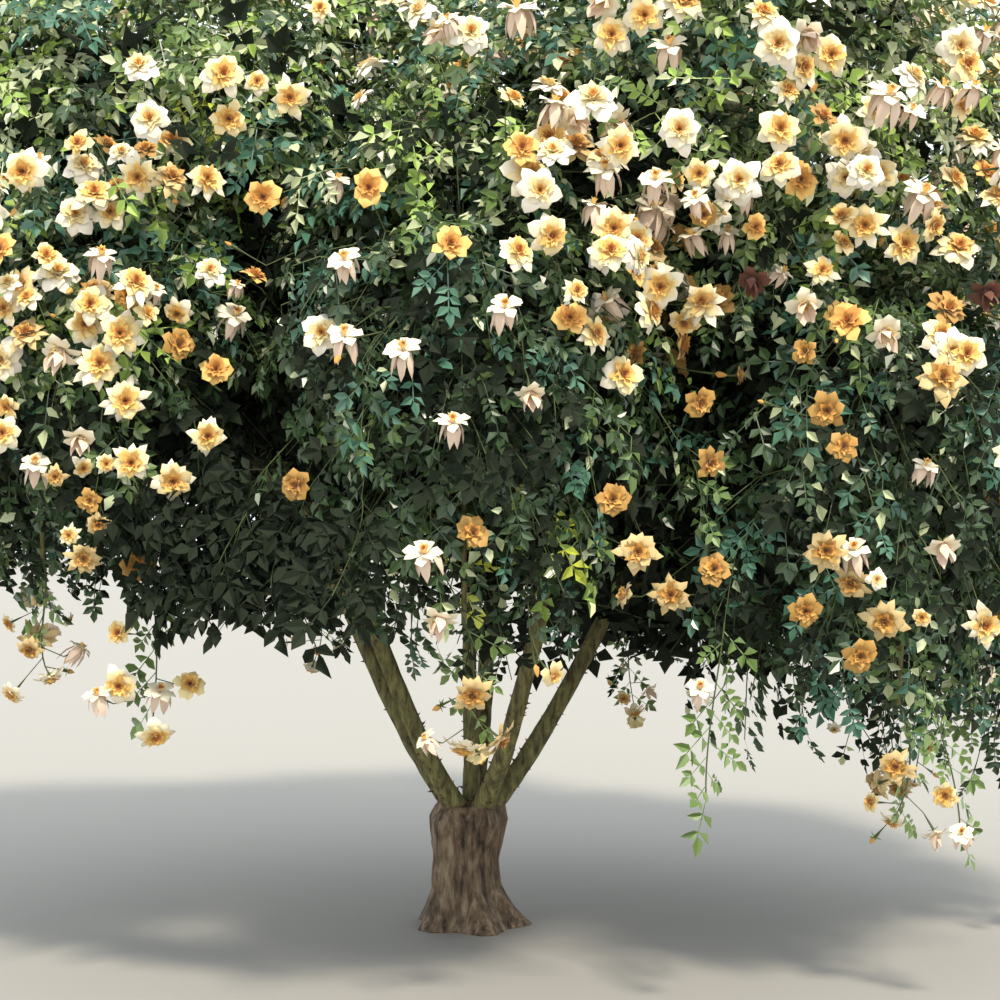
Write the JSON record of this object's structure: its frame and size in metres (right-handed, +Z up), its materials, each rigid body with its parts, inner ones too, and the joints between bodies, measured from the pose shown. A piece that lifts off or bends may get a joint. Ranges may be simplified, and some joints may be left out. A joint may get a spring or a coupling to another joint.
{
  "type": "rose bush",
  "caption": "Large weeping rambler rose bush: a short gnarled trunk, arching canes and a broad leafy crown hung with double apricot-yellow flowers.",
  "frame": {"origin": "centre of the flat cut under the trunk, at ground level", "axes": "+Z up, -Y towards the viewer of the picture, +X to the viewer's right, along the crown's widest spread"},
  "size_m": [3.0024, 2.2998, 2.234],
  "materials": {
    "bark": "rough grey-brown bark",
    "leaf": "semi-gloss dark green leaf",
    "bloom": "matt apricot-yellow petal"
  },
  "bodies": {
    "root": {"trunk": "bark", "leader": "bark", "cane_1": "bark", "cane_2": "bark", "cane_3": "bark", "cane_4": "bark", "cane_5": "bark", "branch_1": "bark", "branch_2": "bark", "branch_3": "bark", "branch_4": "bark", "branch_5": "bark", "branch_6": "bark", "branch_7": "bark", "branch_8": "bark", "branch_9": "bark", "foliage_top": "leaf", "foliage_upper_1": "leaf", "foliage_upper_2": "leaf", "foliage_upper_3": "leaf", "foliage_upper_4": "leaf", "foliage_upper_5": "leaf", "foliage_curtain_1": "leaf", "foliage_curtain_2": "leaf", "foliage_curtain_3": "leaf", "foliage_curtain_4": "leaf", "foliage_curtain_5": "leaf", "foliage_curtain_6": "leaf", "foliage_curtain_7": "leaf", "foliage_curtain_8": "leaf", "foliage_curtain_9": "leaf", "flowers_top": "bloom", "flowers_upper_1": "bloom", "flowers_upper_2": "bloom", "flowers_upper_3": "bloom", "flowers_upper_4": "bloom", "flowers_upper_5": "bloom", "flowers_curtain_1": "bloom", "flowers_curtain_2": "bloom", "flowers_curtain_3": "bloom", "flowers_curtain_4": "bloom", "flowers_curtain_5": "bloom", "flowers_curtain_6": "bloom", "flowers_curtain_7": "bloom", "flowers_curtain_8": "bloom", "flowers_curtain_9": "bloom"}
  },
  "joints": []
}
